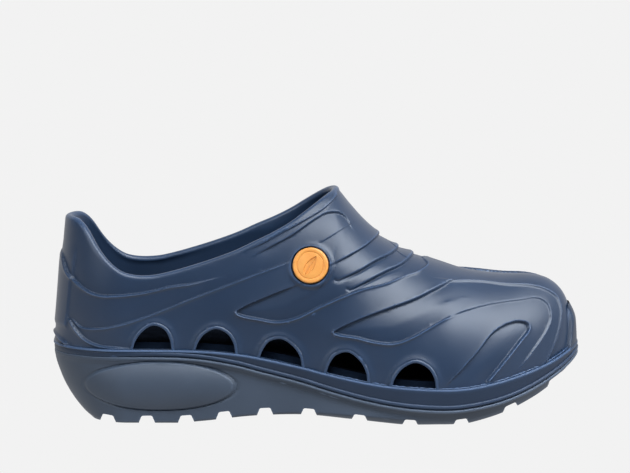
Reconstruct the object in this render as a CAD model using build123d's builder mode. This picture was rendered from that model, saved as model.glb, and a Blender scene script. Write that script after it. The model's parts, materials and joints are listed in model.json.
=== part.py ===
"""Closed-back garden clog for a right foot: a moulded upper on a cupped midsole and a treaded
outsole, with a removable insole that lifts at the heel and two snap-in round side buttons.

Millimetres, +X towards the toe, +Z up, +Y towards the inner (medial) side of the foot.
The origin is on the ground under the middle of the clog. Side-view and plan-view tables
below give x as the distance forward from the back of the heel.
"""

from build123d import *
from math import cos, radians, sin, sqrt, tan
import os

# Overall size
LENGTH = 290.0
HALF_WIDTH = 54.0
HEEL = -LENGTH / 2  # x of the back of the heel
PAST = 6.0  # how far a cutter reaches past what it cuts

# Plan view of the sole's band, its widest outline: an ellipse at each end, free curves between
HEEL_REACH, HEEL_HALF_WIDTH = 42.0, 38.5
TOE_REACH, TOE_SHIFT = 75.0, 6.5
TOE_START = LENGTH - TOE_REACH
LATERAL = [(42, 38.5), (70, 38.8), (100, 40.2), (130, 43.8), (160, 49), (188, 53), (215, 54)]
MEDIAL = [(42, 38.5), (70, 38), (100, 37.4), (130, 39.3), (160, 45), (188, 51.2), (215, 54)]
TOE_TURNS = range(-90, 91, 18)  # points of the toe's curve, in degrees
JOIN_KINK = 0.004  # the toe's curve meets the sides a hair off tangent, so each stays an edge

# Side view: height of each line along the clog
BOTTOM = [(-3, 42), (0.4, 36), (2.2, 28.6), (6.6, 17.4), (13, 8), (21, 2.3), (32, -0.5), (62, -0.5),
          (84, 1.2), (113, 4.5), (137, 5.2), (165, 2.8), (192, 0.2), (204, -0.5), (221, -0.5),
          (236, 2.2), (250, 6.2), (264, 11), (275, 16.8), (284, 25), (288.6, 33), (293, 43)]
BAND_LINE = [(-6, 36.2), (25, 36.4), (60, 36.8), (81, 35.9), (102, 32.6), (114, 29.6), (136, 24.4),
             (157, 18.5), (178, 13.7), (200, 10.7), (221, 9.9), (242, 11.5), (258, 14.8),
             (274, 20.3), (284, 25.7), (290, 31.5), (296, 38)]
JOINT_LINE = [(-6, 40.7), (25, 40.7), (60, 40.6), (80, 40.3), (102, 38.7), (114, 36.9), (137, 32.3),
              (150, 29.2), (173, 24.6), (190, 22.6), (210, 21.5), (226, 21.9), (242, 24.3),
              (258, 28.1), (273, 32.6), (283, 36.6), (296, 42)]
RIM = [(-8, 110.3), (8, 110.5), (14, 109.8), (19, 105.5), (25, 96.5), (30, 90.3), (35, 85.8),
       (40, 82.8), (48, 81), (57, 81.2), (67, 83.4), (79, 86.9), (91, 90.9), (102, 95.2),
       (111, 99.6), (121, 104.4), (131, 110.2), (140, 116.6), (147, 121.6), (152, 124.6),
       (156, 126.2)]
CREST = [(40, 150), (75, 150), (105, 147), (130, 139.5), (144, 132.5), (156, 125.6), (163, 117.6),
         (171, 109.2), (180, 101), (190, 94.4), (201, 89), (215, 83.4), (230, 79.4), (246, 77.4),
         (262, 77), (271, 75.2), (277, 71.8), (281.5, 67), (284.6, 60.5), (286.6, 52)]

# Upper
WALL = 4.5
LEDGE = 2.8  # width of the band that shows outside the upper
ARCH_POWER = 2.2  # roundness of the upper's cross-section; 2 is an ellipse
ARCH_TURNS = (0, 12, 26, 42, 60, 76, 90, 104, 120, 138, 154, 168, 180)  # points of the arch, in degrees
VIRTUAL_CREST = 150.0  # height that the heel's walls arch towards, above the rim
BACK_OFFSET = 0.8  # back of the upper, forward of the band
BACK_TILT = 5.5  # forward lean of the heel's back, in degrees
TILT_DATUM = 40.0  # height where a leaning section keeps its plan position
TILT_END = 150.0  # sections forward of this stand upright
SKIRT = 26.0  # straight length below the joint, trimmed by the sole
HEEL_STEPS = (0.15, 1.2, 4, 9, 17, 28, 40)
BODY_STATIONS = (58, 76, 95, 114, 130, 144, 156, 163, 171, 180, 190, 201, 215, 230, 246, 260, 270,
                 277, 281.6, 284.6, 286.3)

# Vents: side-view arches standing on the joint line, cut through both walls
VENT_REAR_FOOT = (45.5, 79.5, 114.5, 150.5, 186)
VENT_WIDTHS = (21, 21.6, 22.7, 22.2, 23.7)
VENT_HEIGHTS = (13.2, 12.5, 12.5, 14, 13.5)
VENT_FOOT_DROP = 4.0

# Sole
SOLE_TOP = 60.0  # height that the sole's prisms are built to before they are trimmed
TREAD_INSET = 5.0  # inward taper of the lowest part of the outsole
TREAD_TAPER_HEIGHT = 13.0
CORE_INSET = 5.5  # midsole core nested inside the outsole's rim
CORE_FLOOR = 4.0  # thickness of the midsole under the insole
TRAY_INSET = 7.5
TRAY_DEPTH = 9.0  # below the joint line
CHANNEL_X = (31.8, 53, 74.3, 95, 117.3, 141.1, 168.5, 195.9, 223.5, 250.5, 275.6)
CHANNEL_WIDTH, CHANNEL_DEPTH, CHANNEL_ROUND = 8.4, 4.5, 1.8
CHANNEL_ROOF = 1.5  # least left between a channel and the band
SPINE_CHANNEL_HALF_WIDTH = 3.5
SPINE_CHANNEL_DEPTH = 2.8
PAD_CENTRE = (58, 19.3)  # oval cushion bulge on the side of the heel
PAD_RADII = (41.5, 13.2)
PAD_STEPS = ((0, 1.0), (1.2, 1.6), (3.0, 2.0))  # drawn in from the oval's edge, and bulge
GUARD_HALF_WIDTH = 15.0
GUARD_PROFILE = [(280, 30), (290.2, 30), (290.2, 44), (289.6, 49), (288.2, 54), (286.4, 57.6),
                 (284.5, 58.6), (280, 58.6)]

# Insole
INSOLE_INSET = 9.8
INSOLE_GAP = 0.3  # between the insole and the tray floor
INSOLE_FOAM, INSOLE_CLOTH = 4.0, 1.0

# Snap-in buttons
BUTTON_X, BUTTON_Z = 142.0, 87.0
BUTTON_LEAN = 12.0  # upward tilt of the button's face, in degrees
BUTTON_TURN = 9.0  # rearward turn of the button's face, in degrees
COLLAR_RADIUS, COLLAR_PROUD = 12.8, 1.2
COLLAR_ROOT = 1.5  # how far the collar reaches in behind the recess floor
RECESS_RADIUS, RECESS_DEPTH = 10.2, 3.0
CAP_RADIUS, CAP_THICKNESS, CAP_ROUND = 9.7, 3.2, 0.6
POST_RADIUS, BORE_CLEARANCE = 4.0, 0.08
SEAT_RADIUS = 9.5  # flat seat for the washer, inside the wall
WASHER_RADIUS, WASHER_THICKNESS = 8.0, 1.6
WALL_AT_BUTTON = 5.2  # from the recess floor to the washer's seat
PLAY = 0.15


def through(points, x):
    """Height or half-width at x of the smooth curve through hand-picked points."""
    last = len(points) - 2
    i = next((k for k in range(last + 1) if x <= points[k + 1][0]), last)

    def slope(k):
        before, after = points[max(k - 1, 0)], points[min(k + 1, last + 1)]
        return (after[1] - before[1]) / (after[0] - before[0])

    (x0, y0), (x1, y1) = points[i], points[i + 1]
    step = x1 - x0
    t = (x - x0) / step
    rise = (3 - 2 * t) * t * t
    return (
        y0 + (y1 - y0) * rise
        + slope(i) * step * t * (1 - t) ** 2
        - slope(i + 1) * step * t * t * (1 - t)
    )


def end_ellipse(distance, reach, half_width):
    """Half-width of an elliptical end at a distance in from its tip."""
    return half_width * sqrt(max(0.0, 1 - (1 - distance / reach) ** 2))


def forward(points, raise_by=0.0):
    """A side-view table as points of the part's own frame."""
    return [(HEEL + x, z + raise_by) for x, z in points]


def plan_outline(inset):
    """The sole's plan outline, drawn in by inset (or out, if inset is negative)."""
    heel = (HEEL + HEEL_REACH, 0)
    heel_half, toe_half = HEEL_HALF_WIDTH - inset, HALF_WIDTH - inset
    sides = []
    for side, table in ((-1, LATERAL), (1, MEDIAL)):
        sides.append([(HEEL + x, side * (w - inset)) for x, w in table])
    toe = []
    for turn in TOE_TURNS:
        ahead = (TOE_REACH - inset) * cos(radians(turn))
        shift = TOE_SHIFT * (ahead / TOE_REACH) ** 1.3 if ahead > 1e-6 else 0.0
        toe.append((HEEL + TOE_START + ahead, toe_half * sin(radians(turn)) + shift))
    with BuildSketch() as outline:
        with BuildLine():
            EllipticalCenterArc(heel, HEEL_REACH - inset, heel_half, start_angle=90, arc_size=180)
            Spline(sides[0], tangents=[(1, 0), (1, 0)])
            Spline(sides[1], tangents=[(1, 0), (1, 0)])
            Spline(toe, tangents=[(1, -JOIN_KINK), (-1, -JOIN_KINK)])
        make_face()
    return outline.sketch


def prism(outline, low, high):
    """A plan outline standing between two heights."""
    with BuildPart() as block:
        with BuildSketch(Plane.XY.offset(low)):
            add(outline)
        extrude(amount=high - low, dir=(0, 0, 1))
    return block.part


def side_slab(lower, upper):
    """Everything between two side-view curves, right across the clog."""
    with BuildPart() as slab:
        with BuildSketch(Plane.XZ):
            with BuildLine():
                low = Spline(lower)
                high = Spline(upper)
                Line(low @ 0, high @ 0)
                Line(low @ 1, high @ 1)
            make_face()
        extrude(amount=LENGTH / 4, both=True)
    return slab.part


def flat_line(z):
    """A level side-view line, longer than the clog."""
    return [(HEEL - PAST, z), (0, z), (HEEL + LENGTH + PAST, z)]


def arch_section(x, lateral, medial, joint, crest):
    """Cross-section of the upper's envelope: straight skirts below the joint, an arch above."""
    centre = (medial - lateral) / 2
    half = (medial + lateral) / 2
    lean = BACK_TILT * max(0.0, 1 - x / TILT_END)
    up = (sin(radians(lean)), 0, cos(radians(lean)))
    foot = HEEL + x - TILT_DATUM * tan(radians(lean))
    plane = Plane(origin=(foot, centre, 0), x_dir=(0, 1, 0), z_dir=(up[2], 0, -up[0]))
    curve = []
    for a in [radians(turn) for turn in ARCH_TURNS]:
        side = cos(a)
        across = half * abs(side) ** (2 / ARCH_POWER) * (1 if side > 0 else -1)
        height = joint + (crest - joint) * sin(a) ** (2 / ARCH_POWER)
        curve.append((across if abs(side) > 1e-9 else 0.0, height / up[2]))
    with BuildSketch(plane) as section:
        with BuildLine():
            top = Spline(curve, tangents=[(0, 1), (0, -1)])
            skirt_right = Line(top @ 0, (half, joint - SKIRT))
            skirt_left = Line(top @ 1, (-half, joint - SKIRT))
            Line(skirt_right @ 1, skirt_left @ 1)
        make_face()
    return section.sketch.face()


def envelope(inset):
    """Solid form of the upper before the foot opening is cut, drawn in by inset."""
    sections = []
    reach = HEEL_REACH - BACK_OFFSET
    base_half = HEEL_HALF_WIDTH - LEDGE
    for step in HEEL_STEPS:
        x = BACK_OFFSET + inset + step
        half = end_ellipse(step, reach - inset, base_half - inset)
        sections.append(arch_section(x, half, half, through(JOINT_LINE, x), VIRTUAL_CREST - inset))
    toe_tip = LENGTH - LEDGE - inset
    for x in BODY_STATIONS:
        if x >= TOE_START:
            x = TOE_START + (x - TOE_START) * (toe_tip - TOE_START) / (LENGTH - LEDGE - TOE_START)
            w = end_ellipse(toe_tip - x, toe_tip - TOE_START, HALF_WIDTH - LEDGE - inset)
            shift = TOE_SHIFT * ((x - TOE_START) / TOE_REACH) ** 1.3
            lateral, medial = w - shift, w + shift
        else:
            lateral = through(LATERAL, x) - LEDGE - inset
            medial = through(MEDIAL, x) - LEDGE - inset
        toe_pull = inset * max(0.0, (x - TOE_START) / (toe_tip - TOE_START))
        crest = through(CREST, x + toe_pull) - inset
        sections.append(arch_section(x, lateral, medial, through(JOINT_LINE, x), crest))
    with BuildPart() as form:
        loft(sections)
    return form.part


def vent_arches():
    """The ventilation arches, as bars through both walls."""
    with BuildPart() as bars:
        for x, width, height in zip(VENT_REAR_FOOT, VENT_WIDTHS, VENT_HEIGHTS):
            rear = (HEEL + x, through(JOINT_LINE, x))
            front = (HEEL + x + width, through(JOINT_LINE, x + width))
            top = (rear[0] + 0.53 * width, (rear[1] + front[1]) / 2 + height)
            shoulder_rear = (rear[0] + 0.2 * width, rear[1] + 0.66 * height)
            shoulder_front = (rear[0] + 0.88 * width, front[1] + 0.72 * height)
            with BuildSketch(Plane.XZ):
                with BuildLine():
                    arch = Spline([rear, shoulder_rear, top, shoulder_front, front])
                    foot = Polyline(
                        arch @ 0,
                        (rear[0], rear[1] - VENT_FOOT_DROP),
                        (front[0], front[1] - VENT_FOOT_DROP),
                        arch @ 1,
                    )
                make_face()
            extrude(amount=LENGTH / 4, both=True)
    return bars.part


def button_plane(side):
    """Plane of a button's recess floor, its normal pointing out of the clog. side is -1 lateral."""
    out = (
        -sin(radians(BUTTON_TURN)) * cos(radians(BUTTON_LEAN)),
        side * cos(radians(BUTTON_TURN)) * cos(radians(BUTTON_LEAN)),
        sin(radians(BUTTON_LEAN)),
    )
    table = LATERAL if side < 0 else MEDIAL
    joint, crest = through(JOINT_LINE, BUTTON_X), through(CREST, BUTTON_X)
    rise = ((BUTTON_Z - joint) / (crest - joint)) ** ARCH_POWER
    lateral = through(LATERAL, BUTTON_X) - LEDGE
    medial = through(MEDIAL, BUTTON_X) - LEDGE
    half, centre = (lateral + medial) / 2, (medial - lateral) / 2
    wall_y = centre + side * half * (1 - rise) ** (1 / ARCH_POWER)
    surface = Vector(HEEL + BUTTON_X, wall_y, BUTTON_Z)
    floor = surface + Vector(out) * (COLLAR_PROUD - RECESS_DEPTH)
    return Plane(origin=floor, x_dir=(1, 0, 0), z_dir=out)


def drum(plane, radius, low, high):
    """A round solid about a plane's normal, between two heights above the plane."""
    with BuildPart() as body:
        with BuildSketch(plane.offset(low)):
            Circle(radius)
        extrude(amount=high - low)
    return body.part


PLAN = plan_outline(0)
OUTER, INNER = envelope(0), envelope(WALL)
ABOVE_JOINT = side_slab(forward(JOINT_LINE), flat_line(VIRTUAL_CREST + PAST))
LATERAL_BUTTON, MEDIAL_BUTTON = button_plane(-1), button_plane(1)

# Upper: arched shell with a foot opening, vents, button collars and washer seats
with BuildPart() as upper:
    add(OUTER)
    for button in (LATERAL_BUTTON, MEDIAL_BUTTON):
        add(drum(button, COLLAR_RADIUS, -COLLAR_ROOT, RECESS_DEPTH))
    add(INNER, mode=Mode.SUBTRACT)
    for button in (LATERAL_BUTTON, MEDIAL_BUTTON):
        add(drum(button, SEAT_RADIUS, -WALL_AT_BUTTON, 0))
    with BuildSketch(Plane.XZ):
        with BuildLine():
            rim = Spline(forward(RIM))
            top = VIRTUAL_CREST + PAST
            Polyline(rim @ 1, (HEEL + RIM[-1][0], top), (HEEL + RIM[0][0], top), rim @ 0)
        make_face()
    extrude(amount=LENGTH / 4, both=True, mode=Mode.SUBTRACT)
    add(ABOVE_JOINT, mode=Mode.INTERSECT)
    add(vent_arches(), mode=Mode.SUBTRACT)
    for button in (LATERAL_BUTTON, MEDIAL_BUTTON):
        add(drum(button, RECESS_RADIUS, 0, RECESS_DEPTH + PAST), mode=Mode.SUBTRACT)
        bore = drum(button, POST_RADIUS + BORE_CLEARANCE, -WALL_AT_BUTTON - PAST, PAST)
        add(bore, mode=Mode.SUBTRACT)
        inside = drum(button, SEAT_RADIUS, -WALL_AT_BUTTON - PAST, -WALL_AT_BUTTON)
        add(inside, mode=Mode.SUBTRACT)

# Midsole: the band round the clog, a core nested in the outsole, a tray for the insole, a toe guard
with BuildPart() as midsole:
    add(prism(PLAN, 0, SOLE_TOP))
    add(side_slab(forward(BAND_LINE), forward(JOINT_LINE)), mode=Mode.INTERSECT)
    core = prism(plan_outline(CORE_INSET), 0, SOLE_TOP)
    core_span = side_slab(forward(JOINT_LINE, -TRAY_DEPTH - CORE_FLOOR), forward(JOINT_LINE))
    core = core & core_span
    add(core)
    tray = prism(plan_outline(TRAY_INSET), 0, SOLE_TOP)
    tray_span = side_slab(forward(JOINT_LINE, -TRAY_DEPTH), flat_line(SOLE_TOP + PAST))
    add(tray & tray_span, mode=Mode.SUBTRACT)
    with BuildSketch(Plane.XZ.offset(-TOE_SHIFT)):
        with BuildLine():
            Polyline(forward(GUARD_PROFILE), close=True)
        make_face()
    guard = extrude(amount=GUARD_HALF_WIDTH, both=True, mode=Mode.PRIVATE)
    guard = guard & prism(PLAN, 0, SOLE_TOP) & ABOVE_JOINT
    add(guard - OUTER)

# Outsole: heel wedge and tread, cut by rounded channels, with an oval cushion bulge on each side
with BuildPart() as outsole:
    with BuildSketch(Plane.XY):
        add(plan_outline(TREAD_INSET))
    with BuildSketch(Plane.XY.offset(TREAD_TAPER_HEIGHT)):
        add(PLAN)
    loft()
    add(prism(PLAN, TREAD_TAPER_HEIGHT, SOLE_TOP))
    for draw_in, bulge in PAD_STEPS:
        with BuildSketch(Plane.XZ):
            with Locations((HEEL + PAD_CENTRE[0], PAD_CENTRE[1])):
                Ellipse(PAD_RADII[0] - draw_in, PAD_RADII[1] - draw_in)
        layer = extrude(amount=LENGTH / 4, both=True, mode=Mode.PRIVATE)
        add(layer & prism(plan_outline(-bulge), 0, SOLE_TOP))
    add(side_slab(forward(BOTTOM), flat_line(SOLE_TOP + PAST)), mode=Mode.INTERSECT)
    add(side_slab(flat_line(-PAST), forward(BAND_LINE)), mode=Mode.INTERSECT)
    add(core, mode=Mode.SUBTRACT)
    for x in CHANNEL_X:
        slope = (through(BOTTOM, x + 2) - through(BOTTOM, x - 2)) / 4
        thickness = through(BAND_LINE, x) - through(BOTTOM, x)
        depth = min(CHANNEL_DEPTH, thickness - CHANNEL_ROOF)
        across = Plane(
            origin=(HEEL + x, 0, through(BOTTOM, x)), x_dir=(1, 0, slope), z_dir=(0, -1, 0)
        )
        with BuildSketch(across):
            RectangleRounded(CHANNEL_WIDTH, 2 * depth, CHANNEL_ROUND)
        extrude(amount=LENGTH / 4, both=True, mode=Mode.SUBTRACT)
    spine = side_slab(forward(BOTTOM, -PAST), forward(BOTTOM, SPINE_CHANNEL_DEPTH))
    spine_length = CHANNEL_X[-2] - CHANNEL_X[0]
    with BuildSketch(Plane.XY.offset(-PAST)):
        with Locations((HEEL + CHANNEL_X[0] + spine_length / 2, 0)):
            Rectangle(spine_length, 2 * SPINE_CHANNEL_HALF_WIDTH)
    spine = spine & extrude(amount=SOLE_TOP, mode=Mode.PRIVATE)
    add(spine, mode=Mode.SUBTRACT)

# Insole: a foam base and a bonded cloth top, lying in the tray and lifting at the heel
INSOLE_PLAN = plan_outline(INSOLE_INSET)
INSOLE_FLOOR = INSOLE_GAP - TRAY_DEPTH
INSOLE_SPLIT = INSOLE_FLOOR + INSOLE_FOAM
with BuildPart() as insole_foam:
    add(prism(INSOLE_PLAN, 0, SOLE_TOP))
    layer = side_slab(forward(JOINT_LINE, INSOLE_FLOOR), forward(JOINT_LINE, INSOLE_SPLIT))
    add(layer, mode=Mode.INTERSECT)

with BuildPart() as insole_cloth:
    add(prism(INSOLE_PLAN, 0, SOLE_TOP))
    top = forward(JOINT_LINE, INSOLE_SPLIT + INSOLE_CLOTH)
    add(side_slab(forward(JOINT_LINE, INSOLE_SPLIT), top), mode=Mode.INTERSECT)


def snap_button(plane):
    """A cap with a post, and the washer that holds it from inside."""
    with BuildPart() as button:
        add(drum(plane, CAP_RADIUS, PLAY, CAP_THICKNESS))
        fillet(button.edges().group_by(Axis(plane.origin, plane.z_dir))[-1], CAP_ROUND)
        add(drum(plane, POST_RADIUS, -WALL_AT_BUTTON - PLAY - WASHER_THICKNESS, PLAY))
    seat = plane.offset(-WALL_AT_BUTTON - PLAY)
    with BuildPart() as washer:
        add(drum(seat, WASHER_RADIUS, -WASHER_THICKNESS, 0))
        add(drum(seat, POST_RADIUS, -WASHER_THICKNESS, 0), mode=Mode.SUBTRACT)
    return button, washer


lateral_button, lateral_button_washer = snap_button(LATERAL_BUTTON)
medial_button, medial_button_washer = snap_button(MEDIAL_BUTTON)

PIECES = {
    "upper": upper,
    "midsole": midsole,
    "outsole": outsole,
    "insole_foam": insole_foam,
    "insole_cloth": insole_cloth,
    "lateral_button": lateral_button,
    "lateral_button_washer": lateral_button_washer,
    "medial_button": medial_button,
    "medial_button_washer": medial_button_washer,
}
os.makedirs("parts", exist_ok=True)
for name, piece in PIECES.items():
    piece.part.label = name
    export_step(piece.part, f"parts/{name}.step")
    print(name, piece.part.is_valid, len(piece.part.solids()), round(piece.part.volume))
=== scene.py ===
"""Garden clog, right foot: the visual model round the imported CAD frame.

Shapes are worked out in millimetres with x measured forward from the back of the heel, then moved
into the frame (metres, +X to the toe, +Y to the inner side, +Z up) as each mesh is made.
"""

import json
from math import cos, pi, radians, sin

import bmesh
import bpy
import numpy as np
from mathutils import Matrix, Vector


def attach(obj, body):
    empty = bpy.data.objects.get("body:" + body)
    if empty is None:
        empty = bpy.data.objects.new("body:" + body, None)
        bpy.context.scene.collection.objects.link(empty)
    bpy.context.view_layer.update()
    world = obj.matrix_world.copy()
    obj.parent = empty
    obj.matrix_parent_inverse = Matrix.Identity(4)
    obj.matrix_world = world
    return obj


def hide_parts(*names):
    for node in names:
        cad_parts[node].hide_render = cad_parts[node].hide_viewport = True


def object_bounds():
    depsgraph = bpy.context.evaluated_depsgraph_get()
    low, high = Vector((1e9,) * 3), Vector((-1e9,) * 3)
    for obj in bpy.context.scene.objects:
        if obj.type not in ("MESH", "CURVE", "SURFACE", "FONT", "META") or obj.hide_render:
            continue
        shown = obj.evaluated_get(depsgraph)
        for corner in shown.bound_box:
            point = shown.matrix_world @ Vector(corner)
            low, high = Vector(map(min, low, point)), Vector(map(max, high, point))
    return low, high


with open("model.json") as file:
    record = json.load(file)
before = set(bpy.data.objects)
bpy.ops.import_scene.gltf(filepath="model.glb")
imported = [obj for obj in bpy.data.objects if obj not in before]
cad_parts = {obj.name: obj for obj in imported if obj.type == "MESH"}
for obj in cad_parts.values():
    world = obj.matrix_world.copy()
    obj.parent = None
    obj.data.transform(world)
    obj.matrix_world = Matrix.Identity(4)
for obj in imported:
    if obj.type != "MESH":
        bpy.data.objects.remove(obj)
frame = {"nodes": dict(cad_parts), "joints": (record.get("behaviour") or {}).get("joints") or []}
CAD_LOW, CAD_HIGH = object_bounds()

# -------- driving dimensions

MM = 0.001
LENGTH = (CAD_HIGH.x - CAD_LOW.x) / MM
HEEL_X = CAD_LOW.x / MM
HALF_WIDTH = 54.0
HEEL_REACH, HEEL_HALF_WIDTH = 42.0, 38.5
TOE_REACH, TOE_SHIFT = 75.0, 6.5
TOE_START = LENGTH - TOE_REACH
LATERAL = [(42, 38.5), (70, 38.8), (100, 40.2), (130, 43.8), (160, 49), (188, 53), (215, 54)]
MEDIAL = [(42, 38.5), (70, 38), (100, 37.4), (130, 39.3), (160, 45), (188, 51.2), (215, 54)]

BOTTOM = [(-3, 42), (0.4, 36), (2.2, 28.6), (6.6, 17.4), (13, 8), (21, 2.3), (32, -0.5), (62, -0.5),
          (84, 1.2), (113, 4.5), (137, 5.2), (165, 2.8), (192, 0.2), (204, -0.5), (221, -0.5),
          (236, 2.2), (250, 6.2), (264, 12.2), (275, 19.2), (284, 28), (288.6, 33.6), (293, 43)]
BAND_LINE = [(-6, 36.2), (25, 36.4), (60, 36.8), (81, 35.9), (102, 32.6), (114, 29.6), (136, 24.4),
             (157, 18.5), (178, 13.7), (200, 10.8), (221, 10.4), (242, 13.3), (258, 18),
             (274, 25), (284, 30.6), (290, 34.4), (296, 38)]
JOINT_LINE = [(-6, 40.7), (25, 40.7), (60, 40.6), (80, 40.3), (102, 38.7), (114, 36.9), (137, 32.3),
              (150, 29.2), (173, 24.6), (190, 22.6), (210, 21.5), (226, 21.9), (242, 24.3),
              (258, 28.1), (273, 32.6), (283, 36.6), (296, 42)]
RIM = [(-8, 110.3), (8, 110.5), (14, 109.8), (19, 105.5), (25, 96.5), (30, 90.3), (35, 85.8),
       (40, 82.8), (48, 81), (57, 81.2), (67, 83.4), (79, 86.9), (91, 90.9), (102, 95.2),
       (111, 99.6), (121, 104.4), (131, 110.2), (140, 116.6), (147, 121.6), (152, 124.6),
       (156, 126.2)]
CREST = [(40, 150), (75, 150), (105, 147), (130, 139.5), (144, 132.5), (156, 125.6), (163, 116.4),
         (171, 107.4), (180, 99), (190, 92.4), (201, 87.8), (215, 83), (230, 79.4), (246, 77.4),
         (262, 77), (271, 75.2), (277, 71.8), (281.5, 67), (284.6, 60.5), (286.6, 52)]

WALL = 4.5
LEDGE = 2.8
ARCH_POWER = 2.2
BACK_OFFSET = 0.8
BACK_TILT, TILT_DATUM, TILT_END = 5.5, 40.0, 150.0
UPPER_TIP = LENGTH - LEDGE
FOOT_DROP = 1.2  # of the upper's foot into the midsole
MEDIAL_RISE = 1.7  # of the rim's inner side above its outer side
CREST_START, VIRTUAL_CREST = 58.0, 150.0  # behind it the walls arch towards a crest far above the rim
FAN_START = 88.0  # forward of this the mesh columns lean back to meet in the throat

# Side vents: rear foot, width and height of each arch
VENTS = [(45.5, 21, 13.2), (79.5, 21.6, 12.5), (114.5, 22.7, 12.5), (150.5, 22.2, 14), (186, 23.7, 13.5)]
VENT_LIP_RADIUS, VENT_LIP_DEPTH, VENT_LIP_OFFSET = 1.15, -0.2, 0.85
VENT_SWELL, VENT_SWELL_OFFSET, VENT_SWELL_WIDTH = 0.75, 1.9, 1.9
STRIP_HALF_WIDTH = 20.0  # of the raised strip up the heel
STRIP_PROUD, STRIP_EDGE = 0.9, 0.7
HEEL_RIDGES = ((46.4, 0.6, 11), (39.9, 0.33, 14))  # crest at the back, its fall, and where it ends
END_SOFTNESS = 1.5  # how far a step fades beyond its end
STRENGTH_BLEND = 14.0  # in square millimetres, how widely a line's tapers are blended
RAISED_SHARE = 0.38  # of a step's height; the rest is recess
EDGE_LIP, EDGE_LIP_WIDTH = 0.34, 0.6  # rounded lip along the raised edge of a step

# Buttons
COLLAR_RADIUS, COLLAR_PROUD = 13.0, 1.25
COLLAR_FULLEST = radians(-50)  # direction in which the collar stands out most
RECESS_RADIUS, RECESS_DEPTH = 10.6, 3.0
CAP_RADIUS, CAP_TOP = 9.7, 3.1
POST_RADIUS, BOSS_RADIUS, BOSS_DEPTH = 4.0, 9.5, 5.2
BORE_GAP, POST_END = 0.1, 1.7  # play round the post, and how far it shows past the boss
FACE_RING = ((7.9, 0), (7.65, -0.06), (7.45, -0.3), (7.1, -0.3), (6.9, -0.06), (6.6, -0.02), (3, 0.1))
LEAF_LENGTH, LEAF_WIDTH, LEAF_LEAN = 5.9, 0.42, radians(32)
LEAF_CUT = ((1.2, 1.0), (0.02, 1.0), (-0.55, 0.84))  # height from the face, share of the leaf's width

# Sole
TRAY_INSET, TRAY_DEPTH = 7.5, 9.0
CORE_INSET, CORE_FLOOR = 5.5, 4.0
CHANNEL_X = (31.8, 53, 74.3, 95, 117.3, 141.1, 168.5, 195.9, 223.5, 250.5, 275.6)
CHANNEL_DEPTH, CHANNEL_MOUTH, CHANNEL_ROOF = 4.5, 9.2, 6.6
SPINE_DEPTH, SPINE_HALF_WIDTH = 2.8, 3.5
FLASH_START = 150.0  # moulding flash shows forward of this
TREAD_CROWN = 3.0  # rise of the tread's outer edge under the ball of the foot
TREAD_EDGE = ((1.2, 0.62), (3, 0.36), (6, 0.17), (11, 0.05), (17, 0.0))  # further in, share of the crown
PAD_CENTRE, PAD_RADII = (60.0, 20.8), (41.5, 13.2)
GUARD_RISE, GUARD_INNER, GUARD_OUTER = 21.0, 10.0, 21.0
INSOLE_INSET, INSOLE_GAP, INSOLE_FOAM, INSOLE_CLOTH = 9.8, 0.3, 4.0, 1.0
INSOLE_CUP, INSOLE_CUP_WIDTH = 8.0, 10.0  # how its edge curls up

# The view's line of sight, from a little above the lateral side
SIGHT_ELEVATION = 8.0
SIGHT_DISTANCE = 2200.0
SIGHT_X, SIGHT_Z = LENGTH / 2 - 0.6, 97.5  # what the view is aimed at
FLOOR_REACH, FLOOR_GAP = 0.22, 0.0002  # metres of floor ahead of the clog, and the floor's drop below it
VIEW_WIDTH = 346.2  # what the view takes in across the clog's middle
DRAWN_SCALE = 1.007  # side-drawing lengths to true ones

# Mesh density
REAR_SPACING, FRONT_SPACING, SOLE_SPACING = 2.0, 1.7, 1.15
OUTER_ROWS, INNER_ROWS, ROLL_STEPS = 84, 24, 8
REFINE = 4  # each cell that holds a step or bead is split this many ways
REFINE_ERROR = 0.05  # relief that a plain cell may miss
UPPER_TRIANGLES = 190000


# -------- plain shape functions

def through(points, x):
    """Height or half-width at x of the smooth curve through listed points."""
    table = np.array(points, float)
    xs, ys = table[:, 0], table[:, 1]
    before = np.maximum(np.arange(len(xs)) - 1, 0)
    after = np.minimum(np.arange(len(xs)) + 1, len(xs) - 1)
    slope = (ys[after] - ys[before]) / (xs[after] - xs[before])
    x = np.asarray(x, float)
    i = np.clip(np.searchsorted(xs, x) - 1, 0, len(xs) - 2)
    step = xs[i + 1] - xs[i]
    t = (x - xs[i]) / step
    return (
        ys[i] + (ys[i + 1] - ys[i]) * (3 - 2 * t) * t * t
        + slope[i] * step * t * (1 - t) ** 2
        - slope[i + 1] * step * t * t * (1 - t)
    )


def smooth(low, high, value):
    """0 below low, 1 above high and a smooth ramp between."""
    t = np.clip((np.asarray(value, float) - low) / (high - low), 0, 1)
    return t * t * (3 - 2 * t)


def end_ellipse(distance, reach, half_width):
    inner = np.clip(1 - distance / reach, -1, 1)
    return half_width * np.sqrt(np.maximum(0, 1 - inner**2))


def toe_shift(x):
    return TOE_SHIFT * (np.maximum(0, x - TOE_START) / TOE_REACH) ** 1.3


def outline_sides(x, back=0.0, tip=LENGTH, draw_in=0.0):
    """y of the lateral and medial edge at x of the sole's outline, drawn in evenly."""
    x = np.asarray(x, float)
    heel = end_ellipse(x - back, HEEL_REACH - back, HEEL_HALF_WIDTH - draw_in)
    toe = end_ellipse(tip - x, tip - TOE_START, HALF_WIDTH - draw_in)
    edges = []
    for side, widths in ((-1, LATERAL), (1, MEDIAL)):
        edge = np.where(x < HEEL_REACH, heel, through(widths, x) - draw_in)
        edges.append(side * np.where(x > TOE_START, toe + side * toe_shift(x), edge))
    return edges


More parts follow.
